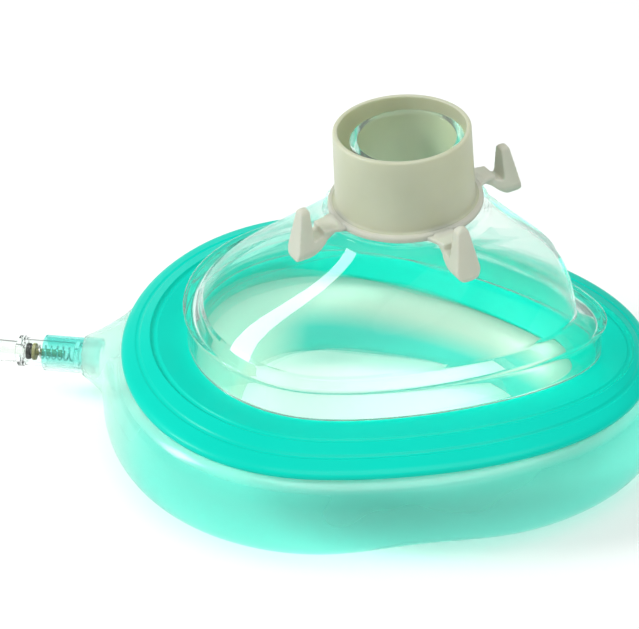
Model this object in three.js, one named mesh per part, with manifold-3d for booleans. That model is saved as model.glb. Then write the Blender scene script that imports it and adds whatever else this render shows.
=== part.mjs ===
// Anaesthesia face mask with an air cushion: a clear dome with a 22 mm socket, a loose hook ring round the
// socket, an inflatable cushion on a coloured carrier ring, and a spring check valve that fills the cushion.
//
// Millimetres. +X points to the nose end, -X to the chin end with the valve, +Z up from the face plane.
// The origin is on the centre line, halfway along the mask with its valve, in the plane the cushion rests on.

import * as THREE from 'three';
import { LoftGeometry } from 'three/addons/geometries/LoftGeometry.js';
import { mergeVertices } from 'three/addons/utils/BufferGeometryUtils.js';
import Module from 'manifold-3d';

const wasm = await Module();
wasm.setup();

// ---- Driving dimensions ---------------------------------------------------------------------------------

const GAP = 0.3; // between pieces that touch

// Breathing port: a 22 mm female socket that leans towards the chin end.
const PORT_X = 20;
const PORT_Z = 63.6;
const PORT_LEAN = THREE.MathUtils.degToRad(3.6);
const SOCKET_R = 11.2;
const NECK_R = 13.05;
const NECK_TOP = 17.5;
const NECK_SHIFT = 1.05; // the neck stands this far off the hook ring's centre
const SHOULDER_R = 19.3;
const PEDESTAL_R = 19.8;
const PEDESTAL = [-3.3, -2.2, -2.2]; // foot of the step round the shoulder, at the nose, sides and chin

// Outlines are closed curves round the mask, seen from above: the nose and chin points on the centre line,
// the half width and where along the mask it falls, and how full the curve is (round: beside the nose, before
// and after the widest place, beside the chin). z is the height at the nose, the widest place and the chin.

// Dome: outlines of its wall from the crown down to the rim, then the rim and the skirt
const CROWN = {
  nose: 51, chin: -7.2, wide: 16, half: 26, round: [0.05, 0.35, 0.55, 0.48], z: [58.8, 53.9, 49.7],
};
const BROW = {
  nose: 58, chin: -21.1, wide: 7, half: 27.7, round: [0.15, 0.35, 0.52, 0.6], z: [56.5, 42.4, 46.6],
};
const FOOT = { nose: 61, chin: -28.6, wide: 3, half: 33.8, round: [0.4, 0.35, 0.5, 0.58] };
const RIM = { nose: 68, chin: -32.3, wide: 3, half: 36.8, round: [0.45, 0.35, 0.5, 0.6] };
const DOME_WALL = 1.4;
const DOME_STEPS = 8;
const RIM_Z = 36;
const RIM_THICK = 1.6;
const RIM_LEDGE = 0.8; // the rim stands this far out of the skirt
const SKIRT_WALL = 1.6;
const SKIRT_END_Z = 26.2;

// Hook ring
const COLLAR_TOP = 20;
const COLLAR_R = 15.75;
const COLLAR_BASE_R = 16.15;
const COLLAR_BORE_R = 14.6;
const COLLAR_CHAMFER = 0.4;
const FLANGE_R = 18;
const FLANGE_THICK = 1.75;
const HOOK_COUNT = 4;
const HOOK_START = THREE.MathUtils.degToRad(35);
const HOOK_R = 27.2; // middle of a prong
const HOOK_LOW = -5.6; // lowest and highest point of a prong, from the shoulder
const HOOK_HIGH = 7.4;
const HOOK_WIDTH = 6;
const HOOK_THICK = 4.6; // along the arm, at the prong's base
const HOOK_BACK_THICK = 2.3; // the same near its tip
const HOOK_TIP_R = 1.5;
const HOOK_CORNER = 0.8;
const ARM_ROOT_WIDTH = 10; // the arm widens from the prong to the flange
const HOOK_SEAT = -0.8; // top of the arm where it meets the prong

// Carrier ring, from its outer edge in to the lip, and the cushion under it from its side to its underside
const EDGE = { nose: 79.5, chin: -47.3, wide: 2, half: 54.3, round: [0.78, 0.2, 0.65, 0.48] };
const BAND = { nose: 74.8, chin: -40.4, wide: 3, half: 45, round: [0.65, 0.25, 0.6, 0.5] };
const LIP = { nose: 60.3, chin: -29.2, wide: 2, half: 31, round: [0.35, 0.35, 0.6, 0.66] };
const CUSHION_ROUND = [0.72, 0.28, 0.62, 0.52];
const CUSHION_SHOULDER = { nose: 82, chin: -50.2, wide: 2, half: 57, round: CUSHION_ROUND };
const CUSHION_SIDE = { nose: 83.5, chin: -52, wide: 2, half: 58.6, round: CUSHION_ROUND };
const CUSHION_LOW = { nose: 82.6, chin: -51.2, wide: 2, half: 57.6, round: CUSHION_ROUND };
const CUSHION_TREAD = { nose: 79, chin: -47.4, wide: 2, half: 53.5, round: CUSHION_ROUND };
const CUSHION_SOLE = { nose: 74, chin: -42.2, wide: 2, half: 48, round: CUSHION_ROUND };
const CUSHION_TURN = { nose: 58, chin: -27, wide: 2, half: 31.5, round: [0.6, 0.3, 0.6, 0.55] };
const CUSHION_INNER = { nose: 50, chin: -19, wide: 2, half: 22, round: [0.6, 0.36, 0.6, 0.6] };
const CARRIER_THICK = 1.8;
const CARRIER_INNER_Z = SKIRT_END_Z - GAP;
const CARRIER_BAND_Z = 27.1;
const CARRIER_EDGE_Z = 24.6;
const CARRIER_LIP_Z = 21.5;
const CUSHION_SHOULDER_Z = 18.5;
const CUSHION_SIDE_Z = 11.5;
const CUSHION_LOW_Z = 5.6;
const CUSHION_TREAD_Z = 1.3;
const CUSHION_TURN_Z = 0.9;
const CUSHION_INNER_Z = 5.2;
const WAIST_RISE = 3.5; // the cushion's underside rises beside the nose
const WAIST_X = 31;
const WAIST_REACH = 15;

// Filling valve, on a level axis at the chin end
const VALVE_Z = 13;
const VALVE_TIP_X = -83.5;
const LUER_R = 2.95;
const LUER_BORE_R = 2.15;
const LUER_FLANGE_R = 3.8;
const LUER_FLANGE_THICK = 1.6;
const SEAT_X = -72.8; // rear face of the Luer socket, which the seal closes on
const SEAT_THICK = 2.2;
const HOUSING_R = 3.45;
const HOUSING_BORE_R = 2.75;
const HOUSING_END_X = -55;
const SLEEVE_R = 4.4;
const SLEEVE_BORE_R = 3.75;
const SLEEVE_START_X = -67.9;
const SLEEVE_END_X = -53.4;
const NECK_MOUTH_X = -58;
const NECK_ROOT_X = -48;
const SEAL_X = SEAT_X + GAP;
const SEAL_THICK = 1.2;
const SEAL_R = 2;
const PLUNGER_START_X = VALVE_TIP_X + 4;
const PLUNGER_DISC_X = SEAT_X + 1.9;
const PLUNGER_DISC_R = 2.1;
const PLUNGER_DISC_THICK = 0.9;
const PLUNGER_END_X = -63;
const PIN_R = 0.9;
const PIN_CHAMFER = 0.3;
const PIN_HOLE_R = PIN_R + 0.4; // through the seat and the spring stop
const SPRING_STOP_X = -60.2;
const SPRING_STOP_THICK = 1;
const SPRING_COILS = 6;
const SPRING_R = 1.6;
const WIRE_R = 0.22;

const QUARTER = 18; // steps in a quarter of an outline
const ROUND_STEPS = 40; // steps round a small turned piece

// ---- Geometry helpers -----------------------------------------------------------------------------------

function solidOf(geometry) {
  geometry.deleteAttribute('normal');
  geometry.deleteAttribute('uv');
  const closed = mergeVertices(geometry, 1e-3);
  return new wasm.Manifold(new wasm.Mesh({
    numProp: 3,
    vertProperties: new Float32Array(closed.attributes.position.array),
    triVerts: new Uint32Array(closed.index.array),
  }));
}

function geometryOf(solid) {
  const mesh = solid.getMesh();
  const geometry = new THREE.BufferGeometry();
  geometry.setAttribute('position', new THREE.BufferAttribute(mesh.vertProperties, 3));
  geometry.setIndex(new THREE.BufferAttribute(mesh.triVerts, 1));
  return geometry;
}

function bezier(a, b, c, d, t) {
  const s = 1 - t;
  return new THREE.Vector3()
    .addScaledVector(a, s * s * s)
    .addScaledVector(b, 3 * s * s * t)
    .addScaledVector(c, 3 * s * t * t)
    .addScaledVector(d, t * t * t);
}

// Runs from the nose point to the widest point and on to the chin point in two cubic arcs, then back along
// the mirrored side. Returns a function of the step round the outline.
function outline({ nose, chin, wide, half, round, z: [zNose, zSide, zChin] }) {
  const point = (x, y, h) => new THREE.Vector3(x, y, h);
  return (step) => {
    const turn = ((step % (4 * QUARTER)) + 4 * QUARTER) % (4 * QUARTER);
    const far = turn > 2 * QUARTER;
    const along = (far ? 4 * QUARTER - turn : turn) / QUARTER;
    const p = along <= 1
      ? bezier(
        point(nose, 0, zNose),
        point(nose, round[0] * half, zNose),
        point(wide + round[1] * (nose - wide), half, zSide),
        point(wide, half, zSide),
        along)
      : bezier(
        point(wide, half, zSide),
        point(wide - round[2] * (wide - chin), half, zSide),
        point(chin, round[3] * half, zChin),
        point(chin, 0, zChin),
        along - 1);
    if (far) p.y = -p.y;
    return p;
  };
}

// The same outline at one height, moved inwards.
function level(shape, height, inset = 0) {
  return outline({ ...inwards(shape, inset), z: [height, height, height] });
}

function inwards(shape, inset) {
  return { ...shape, nose: shape.nose - inset, chin: shape.chin + inset, half: shape.half - inset };
}

const ROUND = Array(4).fill(4 / 3 * (Math.SQRT2 - 1)); // handles that make a circle

const port = new THREE.Matrix4()
  .makeTranslation(PORT_X, 0, PORT_Z)
  .multiply(new THREE.Matrix4().makeRotationY(-PORT_LEAN));

// A circle round the port's axis, with its own height at the nose, the sides and the chin.
function portRound(radius, z, shift = 0) {
  const circle = outline({
    nose: shift + radius, chin: shift - radius, wide: shift, half: radius, round: ROUND, z,
  });
  return (step) => circle(step).applyMatrix4(port);
}

function portCircle(radius, height, shift = 0) {
  return portRound(radius, [height, height, height], shift);
}

// A closed ring whose section passes through the given outlines in order.
function ringThrough(outlines) {
  const sections = [];
  for (let step = 0; step <= 4 * QUARTER; step += 1) {
    sections.push(outlines.map((curve) => curve(step)));
  }
  return solidOf(new THREE.BufferGeometry().copy(new LoftGeometry(sections)));
}

// A piece turned about the X axis. Its section is a list of [x, radius] points, along the axis or the bore
// towards +X and back along the outside.
function turnedAlongX(section) {
  const points = section.map(([x, radius]) => new THREE.Vector2(radius, x)).reverse();
  points.push(points[0].clone());
  const geometry = new THREE.LatheGeometry(points, ROUND_STEPS);
  return geometry.rotateZ(-Math.PI / 2);
}

function tubeAlongX(startX, endX, outerR, boreR) {
  return turnedAlongX([[startX, boreR], [endX, boreR], [endX, outerR], [startX, outerR]]);
}

const object = new THREE.Group();

function addPiece(name, geometry, { color, roughness, metalness = 0 }, parent = object) {
  const material = new THREE.MeshStandardMaterial({ color, roughness, metalness });
  const mesh = new THREE.Mesh(geometry, material);
  mesh.name = name;
  parent.add(mesh);
}

const CLEAR = { color: 0xe6f7eb, roughness: 0.1 };
const TEAL = { color: 0x06e0c8, roughness: 0.35 };
const CUSHION = { color: 0x78e0cf, roughness: 0.3 };
const BEIGE = { color: 0xc3c8ac, roughness: 0.45 };
const RUBBER = { color: 0x15170f, roughness: 0.7 };
const IVORY = { color: 0x9a9660, roughness: 0.5 };
const STEEL = { color: 0xb8b8b4, roughness: 0.25, metalness: 1 };

// ---- Dome: shell, neck with the socket, rim and skirt in one moulding -----------------------------------

// Four outlines that shape the wall, from the shoulder down to the foot, moved in from the outside by inset.
function domeWall(inset) {
  const lower = inset * 0.85; // the wall slopes, so its inner face sits a little less than inset lower
  const shell = (shape) => outline({
    ...inwards(shape, inset), z: shape.z.map((height) => height - lower),
  });
  return [
    portRound(PEDESTAL_R - inset, PEDESTAL.map((height) => height - lower)),
    shell(CROWN),
    shell(BROW),
    level(FOOT, RIM_Z, inset),
  ];
}

function dome() {
  const outer = domeWall(0);
  const inner = domeWall(DOME_WALL);
  const wallAt = (wall, s) => (step) => bezier(...wall.map((curve) => curve(step)), s);
  const underRim = RIM_Z - RIM_THICK;
  const section = [
    portCircle(SOCKET_R, NECK_TOP, NECK_SHIFT),
    portCircle(NECK_R, NECK_TOP, NECK_SHIFT),
    portCircle(NECK_R, 0, NECK_SHIFT),
    portCircle(SHOULDER_R, 0),
  ];
  for (let i = 0; i <= DOME_STEPS; i += 1) section.push(wallAt(outer, i / DOME_STEPS));
  section.push(
    level(RIM, RIM_Z - 0.6),
    level(RIM, underRim),
    level(RIM, underRim - 0.5, RIM_LEDGE),
    level(RIM, SKIRT_END_Z, RIM_LEDGE),
    level(RIM, SKIRT_END_Z, RIM_LEDGE + SKIRT_WALL),
    level(RIM, underRim - 1.5, RIM_LEDGE + SKIRT_WALL),
  );
  for (let i = DOME_STEPS; i >= 0; i -= 1) section.push(wallAt(inner, i / DOME_STEPS));
  section.push(
    portCircle(PEDESTAL_R - 2, -DOME_WALL),
    portCircle(SOCKET_R, -DOME_WALL, NECK_SHIFT),
  );
  return ringThrough(section);
}

addPiece('dome_shell', geometryOf(dome()), CLEAR);

// ---- Hook ring: collar, flange and four hooks in one moulding, loose on the neck ------------------------

// One hook reaching along +X, before it is turned into place: its side view cut to its front view, with a
// flared web where the arm leaves the flange.
function hook() {
  const inner = HOOK_R - HOOK_THICK / 2;
  const outer = HOOK_R + HOOK_THICK / 2;
  const armTop = GAP + FLANGE_THICK;
  const side = new THREE.Shape();
  side.moveTo(FLANGE_R - 1, GAP);
  side.lineTo(FLANGE_R + 2, GAP);
  side.quadraticCurveTo(HOOK_R - 1.5, HOOK_LOW, HOOK_R + 0.5, HOOK_LOW);
  side.quadraticCurveTo(outer, HOOK_LOW, outer, HOOK_LOW + 1.2);
  side.lineTo(inner + HOOK_BACK_THICK, HOOK_HIGH - HOOK_CORNER);
  side.quadraticCurveTo(inner + HOOK_BACK_THICK - 0.6, HOOK_HIGH, inner + HOOK_CORNER, HOOK_HIGH);
  side.quadraticCurveTo(inner, HOOK_HIGH, inner, HOOK_HIGH - HOOK_CORNER);
  side.lineTo(inner, HOOK_SEAT);
  side.lineTo(FLANGE_R + 0.5, armTop);
  side.lineTo(FLANGE_R - 1, armTop);
  side.closePath();
  const sideBlade = new THREE.ExtrudeGeometry(side, {
    depth: HOOK_WIDTH + 1, bevelEnabled: false, curveSegments: 4,
  });
  sideBlade.rotateX(Math.PI / 2).translate(0, (HOOK_WIDTH + 1) / 2, 0);

  const half = HOOK_WIDTH / 2;
  const start = FLANGE_R - 2;
  const front = new THREE.Shape();
  front.moveTo(-half, HOOK_LOW + half);
  front.absarc(0, HOOK_LOW + half, half, Math.PI, 2 * Math.PI, false);
  front.lineTo(HOOK_TIP_R, HOOK_HIGH - 1.2);
  front.absarc(0, HOOK_HIGH - 1.5, HOOK_TIP_R, 0.2, Math.PI - 0.2, false);
  front.closePath();
  const frontBlade = new THREE.ExtrudeGeometry(front, {
    depth: outer + 1 - start, bevelEnabled: false, curveSegments: 10,
  });
  frontBlade.rotateX(Math.PI / 2).rotateZ(Math.PI / 2).translate(start, 0, 0);

  const web = new THREE.Shape();
  web.moveTo(start, -ARM_ROOT_WIDTH / 2);
  web.quadraticCurveTo(FLANGE_R + 2, -half, FLANGE_R + 4.5, -half + 0.4);
  web.lineTo(FLANGE_R + 4.5, half - 0.4);
  web.quadraticCurveTo(FLANGE_R + 2, half, start, ARM_ROOT_WIDTH / 2);
  web.closePath();
  const webPlate = new THREE.ExtrudeGeometry(web, {
    depth: FLANGE_THICK - 0.75, bevelEnabled: false, curveSegments: 8,
  });
  webPlate.translate(0, 0, GAP + 0.1);
  return solidOf(sideBlade).intersect(solidOf(frontBlade)).add(solidOf(webPlate));
}

function hookRing() {
  const foot = GAP + FLANGE_THICK;
  const cut = COLLAR_CHAMFER;
  const section = [
    [COLLAR_BORE_R, GAP], [FLANGE_R - cut, GAP], [FLANGE_R, GAP + cut], [FLANGE_R, foot - cut],
    [FLANGE_R - cut, foot], [COLLAR_BASE_R + cut, foot], [COLLAR_BASE_R, foot + cut],
    [COLLAR_R, COLLAR_TOP - cut], [COLLAR_R - cut, COLLAR_TOP], [COLLAR_BORE_R, COLLAR_TOP],
  ].map(([radius, height]) => new THREE.Vector2(radius, height));
  section.push(section[0].clone());
  let ring = solidOf(new THREE.LatheGeometry(section, 64).rotateX(Math.PI / 2));
  for (let i = 0; i < HOOK_COUNT; i += 1) {
    const angle = HOOK_START + (i / HOOK_COUNT) * 2 * Math.PI;
    ring = ring.add(hook().transform(new THREE.Matrix4().makeRotationZ(angle).elements));
  }
  return geometryOf(ring);
}

const portGroup = new THREE.Group();
portGroup.applyMatrix4(port);
object.add(portGroup);
addPiece('hook_ring', hookRing(), BEIGE, portGroup);

// ---- Carrier ring: the coloured band that joins the dome to the cushion ---------------------------------

function carrierRing() {
  return ringThrough([
    level(LIP, CARRIER_LIP_Z),
    level(RIM, CARRIER_INNER_Z, 2.6),
    level(RIM, CARRIER_INNER_Z),
    level(BAND, CARRIER_BAND_Z),
    level(EDGE, CARRIER_EDGE_Z + 0.4, 1),
    level(EDGE, CARRIER_EDGE_Z - 0.5),
    level(EDGE, CARRIER_EDGE_Z - CARRIER_THICK + 0.3, 0.2),
    level(BAND, CARRIER_BAND_Z - CARRIER_THICK),
    level(RIM, CARRIER_INNER_Z - CARRIER_THICK, 0.6),
    level(LIP, CARRIER_LIP_Z - 1.2, -0.9),
  ]);
}

addPiece('cushion_ring', geometryOf(carrierRing()), TEAL);

// ---- Cushion: inflated tube under the carrier ring, with its filling neck -------------------------------

// The underside rises by WAIST_RISE on each side between the nose and the widest place; share says how much
// of that rise an outline takes.
function waisted(curve, share) {
  return (step) => {
    const p = curve(step);
    p.z += share * WAIST_RISE * Math.exp(-(((p.x - WAIST_X) / WAIST_REACH) ** 2));
    return p;
  };
}

function cushionBody() {
  const below = CARRIER_THICK + GAP;
  return ringThrough([
    level(LIP, CARRIER_LIP_Z - 1.9, -3.2),
    level(BAND, CARRIER_BAND_Z - 0.2 - below),
    level(EDGE, CARRIER_EDGE_Z - below, 0.6),
    level(CUSHION_SHOULDER, CUSHION_SHOULDER_Z),
    level(CUSHION_SIDE, CUSHION_SIDE_Z),
    waisted(level(CUSHION_LOW, CUSHION_LOW_Z), 0.35),
    waisted(level(CUSHION_TREAD, CUSHION_TREAD_Z), 0.9),
    waisted(level(CUSHION_SOLE, 0), 1),
    waisted(level(CUSHION_TURN, CUSHION_TURN_Z), 0.9),
    waisted(level(CUSHION_INNER, CUSHION_INNER_Z), 0.4),
    level(LIP, CUSHION_SIDE_Z, 6),
  ]);
}

// The neck flares into the cushion's side and holds the inner end of the valve in its bore.
function fillingNeck() {
  return solidOf(turnedAlongX([
    [NECK_MOUTH_X, 0], [NECK_ROOT_X, 0], [NECK_ROOT_X, 9.5], [NECK_ROOT_X - 3, 7.6], [NECK_ROOT_X - 6, 6],
    [NECK_MOUTH_X + 0.4, 5.3], [NECK_MOUTH_X, 5.1],
  ]).translate(0, 0, VALVE_Z));
}

function fillingBore() {
  const end = SLEEVE_END_X + GAP;
  const boreR = SLEEVE_R + 0.2;
  return solidOf(turnedAlongX([
    [NECK_MOUTH_X - 1, 0], [end, 0], [end, boreR], [NECK_MOUTH_X - 1, boreR],
  ]).translate(0, 0, VALVE_Z));
}

addPiece('cushion_bladder', geometryOf(cushionBody().add(fillingNeck()).subtract(fillingBore())), CUSHION);

// ---- Filling valve: Luer socket, housing, sleeve, and the sprung plunger with its seal ------------------

const valve = new THREE.Group();
valve.position.z = VALVE_Z;
object.add(valve);

const flangeFront = SEAT_X - LUER_FLANGE_THICK;
addPiece('valve_luer_socket', turnedAlongX([
  [VALVE_TIP_X, LUER_BORE_R], [SEAT_X - SEAT_THICK, LUER_BORE_R - 0.15], [SEAT_X - SEAT_THICK, PIN_HOLE_R],
  [SEAT_X, PIN_HOLE_R], [SEAT_X, LUER_FLANGE_R], [flangeFront, LUER_FLANGE_R],
  [flangeFront, LUER_R], [VALVE_TIP_X, LUER_R],
]), CLEAR, valve);

const housingStart = SEAT_X + GAP;
const stopEnd = SPRING_STOP_X + SPRING_STOP_THICK;
addPiece('valve_housing', turnedAlongX([
  [housingStart, HOUSING_BORE_R], [SPRING_STOP_X, HOUSING_BORE_R], [SPRING_STOP_X, PIN_HOLE_R],
  [stopEnd, PIN_HOLE_R], [stopEnd, HOUSING_BORE_R], [HOUSING_END_X, HOUSING_BORE_R],
  [HOUSING_END_X, HOUSING_R], [housingStart, HOUSING_R],
]), CLEAR, valve);

addPiece('valve_sleeve', tubeAlongX(SLEEVE_START_X, SLEEVE_END_X, SLEEVE_R, SLEEVE_BORE_R), TEAL, valve);

const discEnd = PLUNGER_DISC_X + PLUNGER_DISC_THICK;
addPiece('valve_plunger', turnedAlongX([
  [PLUNGER_START_X, 0], [PLUNGER_END_X, 0], [PLUNGER_END_X, PIN_R], [discEnd, PIN_R],
  [discEnd, PLUNGER_DISC_R], [PLUNGER_DISC_X, PLUNGER_DISC_R], [PLUNGER_DISC_X, PIN_R],
  [PLUNGER_START_X + PIN_CHAMFER, PIN_R], [PLUNGER_START_X, PIN_R - PIN_CHAMFER],
]), IVORY, valve);

addPiece('valve_seal', tubeAlongX(SEAL_X, SEAL_X + SEAL_THICK, SEAL_R, PIN_R + 0.25), RUBBER, valve);

class Helix extends THREE.Curve {
  getPoint(t, target = new THREE.Vector3()) {
    const start = discEnd + 2 * WIRE_R;
    const end = SPRING_STOP_X - 2 * WIRE_R;
    const angle = t * SPRING_COILS * 2 * Math.PI;
    return target.set(start + t * (end - start), SPRING_R * Math.cos(angle), SPRING_R * Math.sin(angle));
  }
}

const wireSection = new THREE.Shape().absarc(0, 0, WIRE_R, 0, 2 * Math.PI, false);
addPiece('valve_spring', new THREE.ExtrudeGeometry(wireSection, {
  steps: SPRING_COILS * 12, curveSegments: 3, extrudePath: new Helix(),
}), STEEL, valve);

export default object;
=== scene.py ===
"""Anaesthesia face mask with an air cushion: the looks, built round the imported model.

Metres in the scene; shapes are worked out in millimetres, as the dimensions below.
"""

import math

import bmesh
import bpy
from mathutils import Matrix, Vector


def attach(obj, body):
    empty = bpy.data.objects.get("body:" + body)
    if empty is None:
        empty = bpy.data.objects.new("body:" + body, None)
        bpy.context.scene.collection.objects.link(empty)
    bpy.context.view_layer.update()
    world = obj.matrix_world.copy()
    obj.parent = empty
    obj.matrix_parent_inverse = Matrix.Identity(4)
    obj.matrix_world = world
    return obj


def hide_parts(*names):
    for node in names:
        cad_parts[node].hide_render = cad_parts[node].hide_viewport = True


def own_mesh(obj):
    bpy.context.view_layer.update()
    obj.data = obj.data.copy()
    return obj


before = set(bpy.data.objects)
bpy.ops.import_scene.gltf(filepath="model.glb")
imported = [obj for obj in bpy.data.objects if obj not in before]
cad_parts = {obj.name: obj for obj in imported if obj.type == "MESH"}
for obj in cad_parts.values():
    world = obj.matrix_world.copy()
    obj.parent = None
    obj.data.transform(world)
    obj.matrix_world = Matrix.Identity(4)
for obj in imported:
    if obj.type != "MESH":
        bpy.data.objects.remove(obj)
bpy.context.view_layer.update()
scene = bpy.context.scene

# ---- Camera ---------------------------------------------------------------------------------------------

CAMERA_PLACE = (0.0673, -0.4888, 0.3705)
CAMERA_TARGET = (0.0, 0.0, 0.03065)
CAMERA_LENS = 141.6
SENSOR_WIDTH = 36

camera = bpy.data.objects.new("camera", bpy.data.cameras.new("camera"))
camera.data.lens = CAMERA_LENS
camera.data.sensor_width = SENSOR_WIDTH
camera.location = CAMERA_PLACE
camera.rotation_euler = (Vector(CAMERA_TARGET) - Vector(CAMERA_PLACE)).to_track_quat("-Z", "Y").to_euler()
scene.collection.objects.link(camera)
scene.camera = camera

# ---- Dimensions, in millimetres ---------------------------------------------------------------------------

GAP = 0.3  # between pieces that meet

# Breathing port: a frame of its own, leaning towards the chin
PORT_X = 20
PORT_Z = 63.6
PORT_LEAN = 3.6  # degrees
PORT = Matrix.Translation((PORT_X, 0, PORT_Z)) @ Matrix.Rotation(math.radians(-PORT_LEAN), 4, "Y")
SOCKET_R = 11.2
NECK_R = 13.05
NECK_TOP = 17.5
NECK_SHIFT = 1.05
SHOULDER_R = 19.3
PEDESTAL_R = 19.8
PEDESTAL = (-3.3, -2.2, -2.2)  # heights in the port's frame at the nose, the sides and the chin

# Dome
DOME_WALL = 0.7
RIM_Z = 36
RIM_THICK = 1.6
RIM_LEDGE = 0.8
SKIRT_WALL = 1.2
SKIRT_END_Z = 26.2
WALL_STEPS = 32
CREASE_TURN = 0.46  # the roof's edge meets the pedestal this far round from the nose, in quarters
CREASE_SHARE = 0.5  # and crosses the nose this far down the wall
CREASE_WIDTH = 0.1  # as a share of the wall
CREASE_HEIGHT = 0.7
CREASE_FADE = 4  # it dies away over the last quarter of its length
WALL_DROP = 0.85  # how far the inner face lies below the outer one, for each millimetre of wall

# Hook ring, in the port's frame
COLLAR_TOP = 20
COLLAR_R = 15.75
COLLAR_BASE_R = 16.15
COLLAR_BORE_R = 14.6
FLANGE_R = 18
FLANGE_THICK = 1.75
HOOKS = 4
HOOK_START = 35  # degrees round from the nose
HOOK_R = 27.2
HOOK_LOW = -5.6
HOOK_HIGH = 7.4
HOOK_WIDTH = 6
HOOK_THICK = 4.6
ARM_BITE = 3  # how far a hook's arm runs back into the flange
TIP_ROUND = 1.5
WEB_THICK = 1.1
CUTTER_MIDDLE = 25
CUTTER_DEPTH = 30
HOOK_VOXEL = 0.28
SOFTEN_SHARE = 0.6
SOFTEN_TIMES = 5

# Carrier ring
CARRIER_THICK = 1.8
INNER_Z = 25.9
BAND_Z = 27.1
EDGE_Z = 24.6
LIP_Z = 21.5
LIP_THICK = 1.2
LIP_REACH = 0.9
INNER_FLAT = 2.6  # the width of the flat strip just inside the rim's outline

# Cushion: its underside rises over the bridge of the nose, and its chin side runs out into the filling neck
WAIST_RISE = 3.5
WAIST_X = 31
WAIST_REACH = 15
VALVE_Z = 13
NECK_START_X = -44
CHIN_X = -50
NECK_ROOT_X = -50.2
NECK_MOUTH_X = -58
NECK_MOUTH_R = 5
NECK_ROOT_R = 13
NECK_CURVE = 2.2  # how sharply the neck narrows, as a power
TOP_REACH = 3.2  # the cushion starts this far outside the carrier ring's lip
TOP_DROP = 1.9  # and this far below its top
FACING_IN = -0.3  # a face whose normal leans outwards by less than this looks into the opening

# Filling valve, along X from the open end of its syringe socket
LUER_TIP_X = -83.5
LUER_FLOOR_X = -75
LUER_COLLAR_X = -74.4
LUER_END_X = -72.8
LUER_MOUTH_R = 2.15
LUER_FLOOR_R = 2.0
LUER_R = 2.95
LUER_COLLAR_R = 3.8
GUIDE_R = 1.3  # the holes that the plunger runs in
HOUSING_X = -72.5
STOP_X = -60.2
STOP_END_X = -59.2
HOUSING_END_X = -55
HOUSING_BORE_R = 2.75
HOUSING_R = 3.45
SLEEVE_X = -67.9
SLEEVE_END_X = -53.4
SLEEVE_BORE_R = HOUSING_R + GAP
SLEEVE_R = 4.4
PLUNGER_TIP_X = -79.5
PALE_END_X = -71  # the pin is pale up to the disc
DISC_X = -70.9
DISC_END_X = -70
PLUNGER_END_X = -63
CORE_R = 0.02  # how far the turned outline stays off the axis
PLUNGER_R = 0.9
PLUNGER_CHAMFER = 0.3
DISC_R = 2.1
SEAL_X = -72.5
SEAL_END_X = -71.3
SEAL_BORE_R = 1.15
SEAL_R = 2.0
SPRING_COILS = 6
SPRING_R = 1.6
WIRE_R = 0.22
SPRING_START = DISC_END_X + 2 * WIRE_R  # clear of the disc and the stop by the wire's radius
SPRING_END = STOP_X - 2 * WIRE_R

# Material zones run this far past the edges that bound them
NECK_SEAM = 0.5
RIM_SEAM = 0.6
HOOK_SEAM = 0.8

RING_STEPS = 240
CUSHION_STEPS = 288
TUBE_STEPS = 8
COLLAR_STEPS = 128
VALVE_STEPS = 64
COIL_STEPS = 28
WIRE_STEPS = 10
ARM_STEPS = 8
ARC_SHARE = 0.45  # a rounded corner takes at most this share of a side
LOOP_SHARE = 0.47  # and the loop beside it this share
LOOP_REACH = 1.25  # in corner radii
MM = 0.001

# Outlines seen from above: nose, chin, where the widest place is, half width, fullness, and heights
CROWN = dict(nose=51, chin=-7.2, wide=16, half=26, full=(0.05, 0.35, 0.55, 0.48), z=(58.8, 53.9, 49.7))
BROW = dict(nose=58, chin=-21.1, wide=7, half=27.7, full=(0.15, 0.35, 0.52, 0.6), z=(56.5, 42.4, 46.6))
FOOT = dict(nose=61, chin=-28.6, wide=3, half=33.8, full=(0.4, 0.35, 0.5, 0.58))
RIM = dict(nose=68, chin=-32.3, wide=3, half=36.8, full=(0.45, 0.35, 0.5, 0.6))
EDGE = dict(nose=79.5, chin=-47.3, wide=2, half=54.3, full=(0.78, 0.2, 0.65, 0.48))
BAND = dict(nose=74.8, chin=-40.4, wide=3, half=45, full=(0.65, 0.25, 0.6, 0.5))
LIP = dict(nose=60.3, chin=-29.2, wide=2, half=31, full=(0.35, 0.35, 0.6, 0.66))
CIRCLE = (0.5523,) * 4  # a quarter circle as one curve
CUSHION_FULL = (0.72, 0.28, 0.62, 0.52)
CUSHION_TURN_FULL = (0.6, 0.3, 0.6, 0.55)
CUSHION_INNER_FULL = (0.6, 0.36, 0.6, 0.6)


def tube_level(half, nose, chin, full=CUSHION_FULL):
    return dict(nose=nose, chin=chin, wide=2, half=half, full=full)


# ---- Mesh helpers -----------------------------------------------------------------------------------------


def bezier(a, b, c, d, t):
    s = 1 - t
    return a * (s * s * s) + b * (3 * s * s * t) + c * (3 * s * t * t) + d * (t * t * t)


def outline(shape, z=None, inset=0.0):
    """A closed curve as a function of the turn, in quarters from the nose round to the nose."""
    nose, chin, half = shape["nose"] - inset, shape["chin"] + inset, shape["half"] - inset
    wide, full = shape["wide"], shape["full"]
    heights = shape["z"] if z is None else (z if isinstance(z, tuple) else (z, z, z))

    def at(turn):
        turn %= 4
        mirrored = turn > 2
        t = 4 - turn if mirrored else turn
        if t <= 1:
            p = bezier(
                Vector((nose, 0, heights[0])),
                Vector((nose, full[0] * half, heights[0])),
                Vector((wide + full[1] * (nose - wide), half, heights[1])),
                Vector((wide, half, heights[1])),
                t,
            )
        else:
            p = bezier(
                Vector((wide, half, heights[1])),
                Vector((wide - full[2] * (wide - chin), half, heights[1])),
                Vector((chin, full[3] * half, heights[2])),
                Vector((chin, 0, heights[2])),
                t - 1,
            )
        return Vector((p.x, -p.y, p.z)) if mirrored else p

    return at


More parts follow.
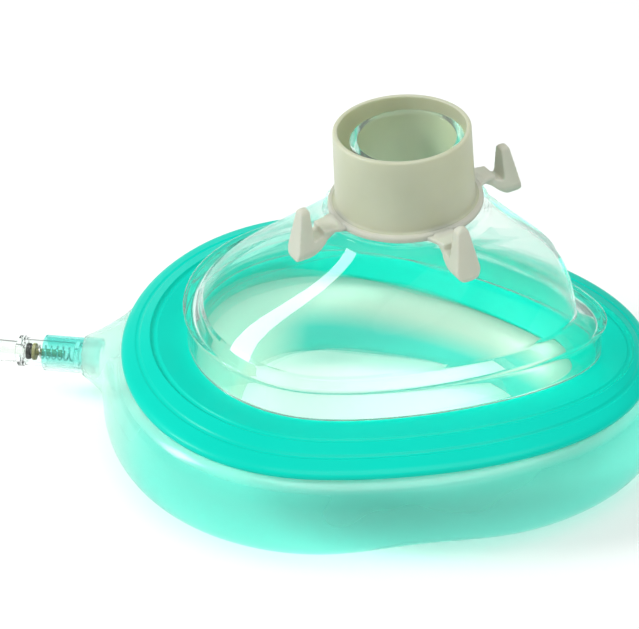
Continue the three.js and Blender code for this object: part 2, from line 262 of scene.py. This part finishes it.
def port_circle(radius, z, shift=0.0):
    shape = dict(nose=shift + radius, chin=shift - radius, wide=shift, half=radius, full=CIRCLE)
    circle = outline(shape, z)
    return lambda turn: PORT @ circle(turn)


def lerp(a, b, t):
    return a + (b - a) * t


def bend(a, corner, b, t):
    """A curve from a to b that leaves and arrives along the corner's two sides."""
    return a * (1 - t) ** 2 + corner * (2 * t * (1 - t)) + b * t * t


def fillet(points, radii, samples=4):
    """A closed polygon with its corners rounded: a radius of 0 keeps the point."""
    out = []
    count = len(points)
    for i, (p, r) in enumerate(zip(points, radii)):
        if not r:
            out.append(p)
            continue
        before, after = points[i - 1], points[(i + 1) % count]
        back, ahead = before - p, after - p
        a = p + back.normalized() * min(r, ARC_SHARE * back.length)
        b = p + ahead.normalized() * min(r, ARC_SHARE * ahead.length)
        # a loop just outside each end of the arc keeps the flats beside it flat when shaded
        out.append(p + back.normalized() * min(LOOP_REACH * r, LOOP_SHARE * back.length))
        out += [bend(a, p, b, k / samples) for k in range(samples + 1)]
        out.append(p + ahead.normalized() * min(LOOP_REACH * r, LOOP_SHARE * ahead.length))
    return out


def through(points, samples):
    """A smooth closed curve through the points."""
    out = []
    n = len(points)
    for i in range(n):
        p0, p1, p2, p3 = (points[(i + k - 1) % n] for k in range(4))
        m1, m2 = (p2 - p0) * 0.5, (p3 - p1) * 0.5
        for k in range(samples):
            t = k / samples
            out.append(
                p1 * (2 * t**3 - 3 * t**2 + 1) + m1 * (t**3 - 2 * t**2 + t)
                + p2 * (3 * t**2 - 2 * t**3) + m2 * (t**3 - t**2)
            )
    return out


def new_object(name, bm, material):
    """Millimetres to metres, faces outwards, smooth."""
    bmesh.ops.scale(bm, vec=(MM,) * 3, verts=bm.verts)
    bmesh.ops.recalc_face_normals(bm, faces=bm.faces)
    if bm.calc_volume(signed=True) < 0:
        bmesh.ops.reverse_faces(bm, faces=bm.faces)
    for face in bm.faces:
        face.smooth = True
    mesh = bpy.data.meshes.new(name)
    bm.to_mesh(mesh)
    bm.free()
    mesh.materials.append(material)
    piece = bpy.data.objects.new(name, mesh)
    scene.collection.objects.link(piece)
    return piece


def grid(bm, sections):
    """A closed ring of closed sections, joined by quads."""
    rings = [[bm.verts.new(p) for p in section] for section in sections]
    for i, ring in enumerate(rings):
        after = rings[(i + 1) % len(rings)]
        for k in range(len(ring)):
            j = (k + 1) % len(ring)
            bm.faces.new((ring[k], ring[j], after[j], after[k]))


def ring_piece(name, section_at, steps, material):
    bm = bmesh.new()
    grid(bm, [section_at(4 * i / steps) for i in range(steps)])
    return new_object(name, bm, material)


def turned(points, radii, steps, place):
    """Sections of a turned piece: points are (along the axis, radius), with rounded corners."""
    flat = fillet([Vector((a, r, 0)) for a, r in points], radii)
    sections = []
    for i in range(steps):
        angle = 2 * math.pi * i / steps
        sections.append([place(p.x, p.y * math.cos(angle), p.y * math.sin(angle)) for p in flat])
    return sections


def along_valve(a, u, v):
    return Vector((a, u, VALVE_Z + v))


def along_port(a, u, v):
    return PORT @ Vector((u, v, a))


def valve_piece(name, points, radii, material):
    bm = bmesh.new()
    grid(bm, turned(points, radii, VALVE_STEPS, along_valve))
    return new_object(name, bm, material)


def paint(piece, material, covers):
    """Gives another material to the faces that covers(face) picks out of those still in the first one."""
    piece.data.materials.append(material)
    index = len(piece.data.materials) - 1
    for face in piece.data.polygons:
        if face.material_index == 0 and covers(face):
            face.material_index = index


def on_port(point):
    """A mesh's point in the port's frame: its distance from the axis and its height."""
    p = PORT.inverted() @ (point / MM)
    return math.hypot(p.x, p.y), p.z


def stands_for(piece, node, body):
    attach(piece, body)
    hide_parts(node)


# ---- Materials --------------------------------------------------------------------------------------------


class Shade:
    """A node-based material: a Principled shader with mottled roughness and a fine surface ripple."""

    def __init__(self, name, colour, **sockets):
        self.material = bpy.data.materials.new(name)
        self.material.use_nodes = True
        self.nodes = self.material.node_tree.nodes
        self.links = self.material.node_tree.links
        self.shader = self.nodes["Principled BSDF"]
        self.out = self.nodes["Material Output"]
        self.shader.inputs["Base Color"].default_value = (*colour, 1)
        for key, value in sockets.items():
            self.shader.inputs[key.replace("_", " ")].default_value = value
        self.coords = self.nodes.new("ShaderNodeTexCoord").outputs["Object"]

    def noise(self, scale, detail=2.0, stretch=(1, 1, 1)):
        mapping = self.nodes.new("ShaderNodeMapping")
        mapping.inputs["Scale"].default_value = stretch
        self.links.new(self.coords, mapping.inputs["Vector"])
        noise = self.nodes.new("ShaderNodeTexNoise")
        noise.inputs["Scale"].default_value = scale
        noise.inputs["Detail"].default_value = detail
        self.links.new(mapping.outputs["Vector"], noise.inputs["Vector"])
        return noise.outputs["Fac"]

    def spread(self, source, low, high, start=0.3, end=0.7):
        ramp = self.nodes.new("ShaderNodeMapRange")
        ramp.inputs["From Min"].default_value = start
        ramp.inputs["From Max"].default_value = end
        ramp.inputs["To Min"].default_value = low
        ramp.inputs["To Max"].default_value = high
        self.links.new(source, ramp.inputs["Value"])
        return ramp.outputs["Result"]

    def roughness(self, low, high, scale, stretch=(1, 1, 1)):
        mottle = self.spread(self.noise(scale, stretch=stretch), low, high)
        self.links.new(mottle, self.shader.inputs["Roughness"])
        return self

    def tint(self, dark, light, scale):
        mix = self.nodes.new("ShaderNodeMix")
        mix.data_type = "RGBA"
        mix.inputs["A"].default_value = (*dark, 1)
        mix.inputs["B"].default_value = (*light, 1)
        self.links.new(self.spread(self.noise(scale, 3), 0, 1), mix.inputs["Factor"])
        self.links.new(mix.outputs["Result"], self.shader.inputs["Base Color"])
        return self

    def fade(self, colour, axis, start, end):
        """After tint: turns the base colour into another between two places along an axis, in millimetres."""
        old = self.shader.inputs["Base Color"].links[0].from_socket
        split = self.nodes.new("ShaderNodeSeparateXYZ")
        self.links.new(self.coords, split.inputs[0])
        mix = self.nodes.new("ShaderNodeMix")
        mix.data_type = "RGBA"
        self.links.new(self.spread(split.outputs[axis], 0, 1, start * MM, end * MM), mix.inputs["Factor"])
        self.links.new(old, mix.inputs["A"])
        mix.inputs["B"].default_value = (*colour, 1)
        self.links.new(mix.outputs["Result"], self.shader.inputs["Base Color"])
        return self

    def ripple(self, scale, depth, detail=2.0, stretch=(1, 1, 1)):
        """depth is in metres."""
        bump = self.nodes.new("ShaderNodeBump")
        bump.inputs["Strength"].default_value = 1.0
        bump.inputs["Distance"].default_value = depth
        self.links.new(self.noise(scale, detail, stretch), bump.inputs["Height"])
        self.links.new(bump.outputs["Normal"], self.shader.inputs["Normal"])
        return self

    def mixed(self, source, share, colour):
        """The source with a share of plain see-through: share is a number or a socket."""
        see = self.nodes.new("ShaderNodeBsdfTransparent")
        see.inputs["Color"].default_value = (*colour, 1)
        mix = self.nodes.new("ShaderNodeMixShader")
        if isinstance(share, float):
            mix.inputs["Fac"].default_value = share
        else:
            self.links.new(share, mix.inputs["Fac"])
        self.links.new(source, mix.inputs[1])
        self.links.new(see.outputs["BSDF"], mix.inputs[2])
        return mix.outputs["Shader"]

    def lets_lamps_through(self, colour, straight=0.0):
        """Lamps shine through it in this colour, and straight is the share of the view seen unbent."""
        source = self.shader.outputs["BSDF"]
        if straight:
            source = self.mixed(source, straight, (0.985, 1.0, 0.99))
        shadow = self.nodes.new("ShaderNodeLightPath").outputs["Is Shadow Ray"]
        self.links.new(self.mixed(source, shadow, colour), self.out.inputs["Surface"])
        return self


def shell_material(name, straight, **coat):
    shade = Shade(name, (0.965, 0.992, 0.975), Transmission_Weight=1.0, IOR=1.05, **coat)
    shade.roughness(0.0, 0.03, 30)
    shade.ripple(22, 0.00003)
    return shade.lets_lamps_through((0.9, 0.965, 0.925), straight).material


clear_shell = shell_material("clear_shell", straight=0.42, Coat_Weight=1.0, Coat_Roughness=0.02, Coat_IOR=1.5)
clear_inside = shell_material("clear_inside", straight=0.5)  # the wall's inner faces carry no gloss coat
clear_rim = (
    Shade(
        "clear_rim", (0.8, 0.94, 0.9), Transmission_Weight=1.0, IOR=1.2,
        Coat_Weight=0.8, Coat_Roughness=0.05, Coat_IOR=1.4,
    )
    .roughness(0.02, 0.06, 60)
    .ripple(60, 0.00003)
    .lets_lamps_through((0.93, 0.98, 0.96), 0.1)
    .material
)
clear_neck = (
    Shade(
        "clear_neck", (0.9, 0.96, 0.88), Transmission_Weight=0.92, IOR=1.2,
        Coat_Weight=0.5, Coat_Roughness=0.05, Coat_IOR=1.4,
    )
    .roughness(0.03, 0.08, 120)
    .ripple(300, 0.00001)
    .lets_lamps_through((0.9, 0.96, 0.9))
    .material
)
clear_valve = (
    Shade("clear_valve", (0.95, 0.985, 0.965), Transmission_Weight=1.0, IOR=1.3)
    .roughness(0.0, 0.06, 200)
    .ripple(300, 0.00001)
    .lets_lamps_through((0.95, 0.98, 0.965))
    .material
)
teal = (
    Shade("carrier_teal", (0.0, 0.62, 0.48), Specular_IOR_Level=0.1, Coat_Weight=0.06, Coat_Roughness=0.12)
    .tint((0.0, 0.59, 0.455), (0.0, 0.65, 0.505), 18)
    .roughness(0.28, 0.42, 50)
    .ripple(260, 0.00003, 3)
    .material
)


def film_material(name, colours, transmission, coat, fades):
    """Cushion film: its colour, its mottling's two colours, and where along an axis it turns paler."""
    colour, dark, light = colours
    shade = Shade(
        name, colour, Transmission_Weight=transmission, IOR=1.03,
        Coat_Weight=coat, Coat_Roughness=0.2, Coat_IOR=1.5,
    )
    shade.tint(dark, light, 14)
    for paler, axis, start, end in fades:
        shade.fade(paler, axis, start, end)
    shade.roughness(0.1, 0.2, 25)
    shade.ripple(35, 0.0003)
    return shade.lets_lamps_through((0.93, 0.99, 0.965)).material


film = film_material(
    "cushion_film",
    ((0.25, 0.87, 0.77), (0.22, 0.84, 0.74), (0.29, 0.89, 0.8)),
    transmission=0.7,
    coat=0.8,
    fades=[
        ((0.9, 1.0, 0.96), "Z", 20.5, 24),  # under the carrier ring: painted highlight along the top of the outer wall
        ((0.78, 0.97, 0.89), "X", -35, -56),  # towards the filling neck
    ],
)
inner_film = film_material(
    "cushion_inner_film",
    ((0.12, 0.78, 0.68), (0.1, 0.74, 0.64), (0.15, 0.81, 0.71)),
    transmission=0.5,
    coat=0.5,
    fades=[
        ((0.82, 0.93, 0.8), "Z", 10.5, 15),  # at the top: painted highlight along the inner wall under the lip
        ((0.86, 0.97, 0.9), "Z", 4, 0.5),  # at the bottom: painted glow of the bright floor below
        ((0.8, 0.92, 0.8), "X", -6, -15),  # at the chin
    ],
)
beige = (
    Shade(
        "hook_plastic", (0.51, 0.53, 0.4), Specular_IOR_Level=0.4,
        Subsurface_Weight=0.5, Subsurface_Scale=0.004, Subsurface_Radius=(1.0, 0.9, 0.6),
    )
    .tint((0.49, 0.51, 0.38), (0.54, 0.56, 0.43), 60)
    .roughness(0.34, 0.48, 120)
    .ripple(700, 0.00002, 3)
    .material
)
pale_beige = (
    Shade(
        "hook_prongs", (0.7, 0.7, 0.6), Specular_IOR_Level=0.4, Transmission_Weight=0.25, IOR=1.2,
        Subsurface_Weight=0.3, Subsurface_Scale=0.003, Subsurface_Radius=(1.0, 0.9, 0.7),
    )
    .tint((0.67, 0.68, 0.57), (0.74, 0.73, 0.64), 60)
    .roughness(0.34, 0.48, 120)
    .ripple(700, 0.00002, 3)
    .material
)
sleeve_teal = (
    Shade("sleeve_teal", (0.28, 0.85, 0.78), Transmission_Weight=0.9, IOR=1.15)
    .tint((0.26, 0.84, 0.78), (0.34, 0.88, 0.82), 90)
    # pale below the axis: painted light on the sleeve's underside
    .fade((0.93, 0.98, 0.97), "Z", VALVE_Z + 1, VALVE_Z - 2)
    .roughness(0.05, 0.15, 200)
    .ripple(250, 0.00002)
    .lets_lamps_through((0.75, 0.96, 0.93))
    .material
)
pale_pin = (
    Shade("plunger_pin", (0.88, 0.9, 0.86), Transmission_Weight=0.85, IOR=1.15)
    .roughness(0.05, 0.15, 300)
    .ripple(900, 0.00001)
    .lets_lamps_through((0.9, 0.92, 0.9))
    .material
)
olive = (
    Shade("plunger_plastic", (0.22, 0.21, 0.09))
    .roughness(0.35, 0.55, 300)
    .ripple(900, 0.00001)
    .material
)
rubber = (
    Shade("seal_rubber", (0.012, 0.012, 0.01))
    .roughness(0.45, 0.65, 400)
    .ripple(1500, 0.00001)
    .material
)
steel = (
    Shade("spring_steel", (0.62, 0.62, 0.6), Metallic=1.0)
    .roughness(0.18, 0.34, 800, (1, 6, 6))
    .ripple(2500, 0.000004, 2, (1, 8, 8))
    .material
)

# ---- Dome -------------------------------------------------------------------------------------------------


def wall(inset):
    """The four outlines that shape the wall, moved in; it slopes, so its inner face sits a little lower."""

    def sink(heights):
        return tuple(z - WALL_DROP * inset for z in heights)

    return [
        port_circle(PEDESTAL_R - inset, sink(PEDESTAL)),
        outline(CROWN, sink(CROWN["z"]), inset),
        outline(BROW, sink(BROW["z"]), inset),
        outline(FOOT, RIM_Z, inset),
    ]


def crease(turn, share):
    """How far the wall stands proud along the edge of the flat roof in front of the socket."""
    off = min(turn % 4, 4 - turn % 4) / CREASE_TURN
    if off >= 1:
        return 0.0
    at = CREASE_SHARE * (1 - off)
    peak = max(0.0, 1 - abs(share - at) / CREASE_WIDTH)
    return CREASE_HEIGHT * peak * min(1.0, CREASE_FADE * (1 - off))


def dome_section(turn):
    outer = [curve(turn) for curve in wall(0)]
    inner = [curve(turn) for curve in wall(DOME_WALL)]
    under = RIM_Z - RIM_THICK
    points, radii = [], []

    def add(p, r=0.0):
        points.append(p)
        radii.append(r)

    add(port_circle(SOCKET_R, NECK_TOP, NECK_SHIFT)(turn), 0.4)
    add(port_circle(NECK_R, NECK_TOP, NECK_SHIFT)(turn), 0.5)
    add(port_circle(NECK_R, 0, NECK_SHIFT)(turn), 0.6)
    add(port_circle(SHOULDER_R, 0)(turn), 0.5)
    for i in range(WALL_STEPS + 1):
        s = i / WALL_STEPS
        p, q = bezier(*outer, s), bezier(*inner, s)
        add(p + (p - q).normalized() * crease(turn, s), 0.4 if i in (0, WALL_STEPS) else 0)
    add(outline(RIM, RIM_Z - 0.5)(turn), 0.5)
    add(outline(RIM, under)(turn), 0.4)
    add(outline(RIM, under - 0.5, RIM_LEDGE)(turn), 0.3)
    add(outline(RIM, SKIRT_END_Z, RIM_LEDGE)(turn), 0.3)
    add(outline(RIM, SKIRT_END_Z, RIM_LEDGE + SKIRT_WALL)(turn), 0.3)
    add(outline(RIM, under - 1.5, RIM_LEDGE + SKIRT_WALL)(turn), 0.9)
    for i in range(WALL_STEPS, -1, -2):
        add(bezier(*inner, i / WALL_STEPS), 0.6 if i == WALL_STEPS else 0)
    add(port_circle(PEDESTAL_R - 2, -DOME_WALL)(turn), 0.5)
    add(port_circle(SOCKET_R, -DOME_WALL, NECK_SHIFT)(turn), 0.4)
    return fillet(points, radii)


def on_neck(face):
    radius, height = on_port(face.center)
    return height > NECK_SEAM and radius < NECK_R + NECK_SHIFT + NECK_SEAM


def on_rim(face):
    return face.center.z / MM < RIM_Z + RIM_SEAM


def faces_in(face):
    inside_point = Vector((15, 0, 22))
    return face.normal.dot(face.center / MM - inside_point) < 0


dome = ring_piece("dome", dome_section, RING_STEPS, clear_shell)
paint(dome, clear_neck, on_neck)
paint(dome, clear_rim, on_rim)
paint(dome, clear_inside, faces_in)
stands_for(dome, "dome_shell", "mask")

# ---- Carrier ring -----------------------------------------------------------------------------------------


def groove(p, q, share, width, depth):
    """Five points that sink a rounded groove into the line from p to q."""
    along = (q - p).normalized()
    down = Vector((0, 0, -1))
    middle = lerp(p, q, share)
    return [
        middle - along * width,
        middle - along * width * 0.5 + down * depth * 0.75,
        middle + down * depth,
        middle + along * width * 0.5 + down * depth * 0.75,
        middle + along * width,
    ]


def carrier_section(turn):
    lip_top = outline(LIP, LIP_Z)(turn)
    inner_in = outline(RIM, INNER_Z, INNER_FLAT)(turn)
    inner = outline(RIM, INNER_Z)(turn)
    band = outline(BAND, BAND_Z)(turn)
    edge_in = outline(EDGE, EDGE_Z + 0.4, 1)(turn)
    points = [(lip_top, 0.5), (inner_in, 1.2), (inner, 1.0)]
    points += [(p, 0.15) for p in groove(inner, band, share=0.9, width=0.9, depth=0.55)]
    points += [(p, 0.15) for p in groove(band, edge_in, share=0.5, width=0.7, depth=0.3)]
    points += [
        (edge_in, 0.8),
        (outline(EDGE, EDGE_Z - 0.5)(turn), 0.6),
        (outline(EDGE, EDGE_Z - CARRIER_THICK + 0.3, 0.2)(turn), 0.5),
        (outline(BAND, BAND_Z - CARRIER_THICK)(turn), 0),
        (outline(RIM, INNER_Z - CARRIER_THICK, 0.6)(turn), 0.5),
        (outline(LIP, LIP_Z - LIP_THICK, -LIP_REACH)(turn), 0.4),
    ]
    return fillet([p for p, _ in points], [r for _, r in points], 3)


carrier = ring_piece("carrier", carrier_section, RING_STEPS, teal)
stands_for(carrier, "cushion_ring", "mask")

# ---- Air cushion ------------------------------------------------------------------------------------------


def waisted(p, share):
    """Lifts the underside where it crosses the bridge of the nose."""
    p.z += share * WAIST_RISE * math.exp(-(((p.x - WAIST_X) / WAIST_REACH) ** 2))
    return p


def flared(p):
    """Draws the chin side of the cushion out into the filling neck."""
    away = math.hypot(p.y, p.z - VALVE_Z)
    if p.x > NECK_START_X or away > NECK_ROOT_R:
        return p
    t = min(1.0, (NECK_ROOT_R - away) / (NECK_ROOT_R - NECK_MOUTH_R))
    reach = (CHIN_X - p.x) * (1 - t)
    drawn = NECK_ROOT_X - reach - (NECK_ROOT_X - NECK_MOUTH_X) * t**NECK_CURVE
    return Vector((min(p.x, drawn), p.y, p.z))


def cushion_section(turn):
    """From the lip out under the carrier ring, down the outside, across the underside and up the inside."""
    below = CARRIER_THICK + GAP

    def level(shape, z, inset=0.0):
        return outline(shape, z, inset)(turn)

    points = [
        level(LIP, LIP_Z - TOP_DROP, -TOP_REACH),
        level(BAND, BAND_Z - 0.2 - below),
        level(EDGE, EDGE_Z - below, 0.6),
        level(tube_level(57, 82, -50.2), 18.5),
        level(tube_level(58.6, 83.5, -52), 11.5),
        waisted(level(tube_level(57.6, 82.6, -51.2), 5.6), 0.35),
        waisted(level(tube_level(53.5, 79, -47.4), 1.3), 0.9),
        waisted(level(tube_level(48, 74, -42.2), 0.0), 1),
        waisted(level(tube_level(31.5, 58, -27, CUSHION_TURN_FULL), 0.9), 0.9),
        waisted(level(tube_level(22, 50, -19, CUSHION_INNER_FULL), 5.2), 0.4),
        level(LIP, 11.5, 6),
    ]
    return [flared(p) for p in through(points, TUBE_STEPS)]


def faces_opening(face):
    """The wall round the opening for the face, above the rounded underside."""
    opening_centre = Vector((8, 0))
    outward = (face.center.xy / MM - opening_centre).normalized()
    return face.center.z / MM > 0.5 and face.normal.xy.dot(outward) < FACING_IN


cushion = ring_piece("cushion", cushion_section, CUSHION_STEPS, film)
paint(cushion, inner_film, faces_opening)
stands_for(cushion, "cushion_bladder", "mask")

# ---- Hook ring --------------------------------------------------------------------------------------------


def extruded(outline_points, depth, place):
    bm = bmesh.new()
    low = [bm.verts.new(place(x, y, -depth / 2)) for x, y in outline_points]
    high = [bm.verts.new(place(x, y, depth / 2)) for x, y in outline_points]
    bm.faces.new(low)
    bm.faces.new(reversed(high))
    for i in range(len(low)):
        j = (i + 1) % len(low)
        bm.faces.new((low[i], high[i], high[j], low[j]))
    bmesh.ops.recalc_face_normals(bm, faces=bm.faces)
    return bm


def arc(cx, cy, r, start, end, steps):
    angles = [math.radians(lerp(start, end, i / steps)) for i in range(steps + 1)]
    return [(cx + r * math.cos(a), cy + r * math.sin(a)) for a in angles]


def applied(piece):
    """The piece's mesh with its modifiers applied."""
    evaluated = piece.evaluated_get(bpy.context.evaluated_depsgraph_get())
    mesh = bpy.data.meshes.new_from_object(evaluated)
    piece.modifiers.clear()
    piece.data = mesh
    return piece


def hook():
    """One hook reaching along +X, softened all over: its side's outline, cut to its front's outline."""
    inner, outer = HOOK_R - HOOK_THICK / 2, HOOK_R + HOOK_THICK / 2
    arm_top = GAP + FLANGE_THICK
    arm_root = FLANGE_R - ARM_BITE
    arm, knee, heel = (FLANGE_R + 2, GAP), (HOOK_R - 1.5, HOOK_LOW), (HOOK_R + 0.5, HOOK_LOW)
    side = [(arm_root, GAP + 0.15), (FLANGE_R + 1, GAP + 0.1)]
    for i in range(1, ARM_STEPS + 1):
        side.append(tuple(bend(Vector(arm), Vector(knee), Vector(heel), i / ARM_STEPS)))
    side += [
        (outer - 0.6, HOOK_LOW + 0.1), (outer - 0.1, HOOK_LOW + 0.6), (outer, HOOK_LOW + 1.4),
        (inner + 2.3, HOOK_HIGH - 0.8), (inner + 1.7, HOOK_HIGH),
        (inner + 0.5, HOOK_HIGH), (inner, HOOK_HIGH - 0.6), (inner, -0.8),
        (FLANGE_R + 0.5, arm_top - 0.1), (arm_root, arm_top - 0.1),
    ]
    half = HOOK_WIDTH / 2
    front = arc(0, HOOK_LOW + half, half, 180, 360, 14)
    front += arc(0, HOOK_HIGH - TIP_ROUND, TIP_ROUND, 5, 175, 10)
    blade = new_object(
        "hook", extruded(side, HOOK_WIDTH + 2, lambda x, y, d: Vector((x, d, y))), beige
    )
    cutter = new_object(
        "hook_front", extruded(front, CUTTER_DEPTH, lambda x, y, d: Vector((d + CUTTER_MIDDLE, x, y))), beige
    )
    cut = blade.modifiers.new("cut", "BOOLEAN")
    cut.operation, cut.solver, cut.object = "INTERSECT", "EXACT", cutter
    applied(blade)
    web = [(FLANGE_R - 2.5, -5), (FLANGE_R, -3.9), (FLANGE_R + 2, -3.1), (FLANGE_R + 4.5, -2.6)]
    web += [(x, -y) for x, y in reversed(web)]
    root = new_object(
        "hook_root", extruded(web, WEB_THICK, lambda x, y, d: Vector((x, y, d + GAP + 0.7))), beige
    )
    both = bmesh.new()
    both.from_mesh(blade.data)
    both.from_mesh(root.data)
    both.to_mesh(blade.data)
    both.free()
    for helper in (cutter, root):
        bpy.data.objects.remove(helper)
    remesh = blade.modifiers.new("remesh", "REMESH")
    remesh.mode, remesh.voxel_size, remesh.use_smooth_shade = "VOXEL", HOOK_VOXEL * MM, True
    soften = blade.modifiers.new("soften", "SMOOTH")
    soften.factor, soften.iterations = SOFTEN_SHARE, SOFTEN_TIMES
    return applied(blade)


def hook_ring():
    foot = GAP + FLANGE_THICK
    bm = bmesh.new()
    section = [
        (GAP, COLLAR_BORE_R), (GAP, FLANGE_R), (foot, FLANGE_R), (foot, COLLAR_BASE_R),
        (COLLAR_TOP, COLLAR_R), (COLLAR_TOP, COLLAR_BORE_R),
    ]
    grid(bm, turned(section, [0.2, 0.7, 0.7, 0.8, 0.6, 0.35], COLLAR_STEPS, along_port))
    ring = new_object("hook_collar", bm, beige)
    one = hook()
    metres = Matrix.Scale(MM, 4)
    port = metres @ PORT @ metres.inverted()
    joined = bmesh.new()
    joined.from_mesh(ring.data)
    for i in range(HOOKS):
        mesh = one.data.copy()
        mesh.transform(port @ Matrix.Rotation(math.radians(HOOK_START + 360 / HOOKS * i), 4, "Z"))
        joined.from_mesh(mesh)
    for face in joined.faces:
        face.smooth = True
    joined.to_mesh(ring.data)
    joined.free()
    bpy.data.objects.remove(one)
    return ring


def on_hook(face):
    radius, _ = on_port(face.center)
    return radius > COLLAR_BASE_R + HOOK_SEAM


collar = hook_ring()
paint(collar, pale_beige, on_hook)
stands_for(collar, "hook_ring", "strap_ring")

# ---- Filling valve ----------------------------------------------------------------------------------------

luer = valve_piece(
    "luer_socket",
    [
        (LUER_TIP_X, LUER_MOUTH_R), (LUER_FLOOR_X, LUER_FLOOR_R), (LUER_FLOOR_X, GUIDE_R),
        (LUER_END_X, GUIDE_R), (LUER_END_X, LUER_COLLAR_R), (LUER_COLLAR_X, LUER_COLLAR_R),
        (LUER_COLLAR_X, LUER_R), (LUER_TIP_X, LUER_R),
    ],
    [0.15, 0.1, 0.1, 0.1, 0.3, 0.3, 0.25, 0.2],
    clear_valve,
)
housing = valve_piece(
    "housing",
    [
        (HOUSING_X, HOUSING_BORE_R), (STOP_X, HOUSING_BORE_R), (STOP_X, GUIDE_R), (STOP_END_X, GUIDE_R),
        (STOP_END_X, HOUSING_BORE_R), (HOUSING_END_X, HOUSING_BORE_R),
        (HOUSING_END_X, HOUSING_R), (HOUSING_X, HOUSING_R),
    ],
    [0.15, 0.15, 0.1, 0.1, 0.15, 0.2, 0.25, 0.2],
    clear_valve,
)
sleeve = valve_piece(
    "sleeve",
    [
        (SLEEVE_X, SLEEVE_BORE_R), (SLEEVE_END_X, SLEEVE_BORE_R),
        (SLEEVE_END_X, SLEEVE_R), (SLEEVE_X, SLEEVE_R),
    ],
    [0.15, 0.15, 0.3, 0.3],
    sleeve_teal,
)
plunger = valve_piece(
    "plunger",
    [
        (PLUNGER_TIP_X, CORE_R), (PLUNGER_END_X, CORE_R), (PLUNGER_END_X, PLUNGER_R),
        (DISC_END_X, PLUNGER_R), (DISC_END_X, DISC_R), (DISC_X, DISC_R), (DISC_X, PLUNGER_R),
        (PLUNGER_TIP_X + PLUNGER_CHAMFER, PLUNGER_R), (PLUNGER_TIP_X, PLUNGER_R - PLUNGER_CHAMFER),
    ],
    [0, 0, 0.25, 0.2, 0.2, 0.2, 0.2, 0.15, 0.1],
    olive,
)
paint(plunger, pale_pin, lambda face: face.center.x / MM < PALE_END_X)
seal = valve_piece(
    "seal",
    [(SEAL_X, SEAL_BORE_R), (SEAL_END_X, SEAL_BORE_R), (SEAL_END_X, SEAL_R), (SEAL_X, SEAL_R)],
    [0.1, 0.1, 0.35, 0.35],
    rubber,
)
stands_for(luer, "valve_luer_socket", "mask")
stands_for(housing, "valve_housing", "mask")
stands_for(sleeve, "valve_sleeve", "mask")
stands_for(plunger, "valve_plunger", "check_plunger")
stands_for(seal, "valve_seal", "check_plunger")


def spring_sections():
    """The wire's round sections along a plain helix."""
    sections = []
    steps = SPRING_COILS * COIL_STEPS
    for i in range(steps + 1):
        t = i / steps
        angle = 2 * math.pi * SPRING_COILS * t
        out = Vector((0, math.cos(angle), math.sin(angle)))
        centre = Vector((lerp(SPRING_START, SPRING_END, t), 0, VALVE_Z)) + out * SPRING_R
        along = Vector((1, 0, 0))
        sections.append([
            centre + out * (WIRE_R * math.cos(a)) + along * (WIRE_R * math.sin(a))
            for a in (2 * math.pi * k / WIRE_STEPS for k in range(WIRE_STEPS))
        ])
    return sections


def spring_piece():
    bm = bmesh.new()
    rings = [[bm.verts.new(p) for p in section] for section in spring_sections()]
    for before, after in zip(rings, rings[1:]):
        for k in range(WIRE_STEPS):
            j = (k + 1) % WIRE_STEPS
            bm.faces.new((before[k], before[j], after[j], after[k]))
    bm.faces.new(rings[0])
    bm.faces.new(reversed(rings[-1]))
    return new_object("spring", bm, steel)


spring = spring_piece()
stands_for(spring, "valve_spring", "mask")
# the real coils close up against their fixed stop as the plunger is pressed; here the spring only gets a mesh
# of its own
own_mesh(spring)

# ---- Floor and light --------------------------------------------------------------------------------------

FLOOR_SIZE = 3000
FLOOR_DROP = 0.1  # it lies clear below the cushion
BACKGROUND = (0.98, 1.0, 0.99, 1)
BACKGROUND_STRENGTH = 0.38
LIT_PLACE = Vector((0, 0, 0.04))  # the softboxes aim here
SKY_STRENGTH = 1.55
SKY_SPREAD = 50  # degrees
SKY_LEAN = (12, 10)  # degrees about X and Y

floor_shade = Shade("floor", (0.95, 0.965, 0.955)).roughness(0.7, 0.85, 8).ripple(40, 0.00002).material
bm = bmesh.new()
bmesh.ops.create_grid(bm, x_segments=4, y_segments=4, size=FLOOR_SIZE)
floor = new_object("floor", bm, floor_shade)
floor.location.z = -FLOOR_DROP * MM

scene.view_settings.view_transform = "Standard"
world = bpy.data.worlds.new("studio")
scene.world = world
world.use_nodes = True
world.node_tree.nodes["Background"].inputs["Color"].default_value = BACKGROUND
world.node_tree.nodes["Background"].inputs["Strength"].default_value = BACKGROUND_STRENGTH


def softbox(name, towards, distance, size, radiance):
    """A rectangular lamp that the mask sees in that direction, facing it."""
    data = bpy.data.lights.new(name, "AREA")
    data.shape = "RECTANGLE"
    data.size, data.size_y = size
    data.energy = math.pi * size[0] * size[1] * radiance
    light = bpy.data.objects.new(name, data)
    towards = Vector(towards).normalized()
    light.location = LIT_PLACE + towards * distance
    light.rotation_euler = towards.to_track_quat("Z", "Y").to_euler()
    scene.collection.objects.link(light)


softbox("window", towards=(-0.814, -0.158, 0.559), distance=0.9, size=(0.22, 0.34), radiance=19)
softbox("front", towards=(0.55, -0.75, 0.45), distance=1.0, size=(0.3, 0.3), radiance=1)
softbox("back", towards=(-0.5, 0.8, 0.1), distance=1.0, size=(0.2, 0.12), radiance=2)
sky = bpy.data.objects.new("sky", bpy.data.lights.new("sky", "SUN"))
sky.data.energy = SKY_STRENGTH
sky.data.angle = math.radians(SKY_SPREAD)
sky.rotation_euler = (math.radians(SKY_LEAN[0]), math.radians(SKY_LEAN[1]), 0)
scene.collection.objects.link(sky)
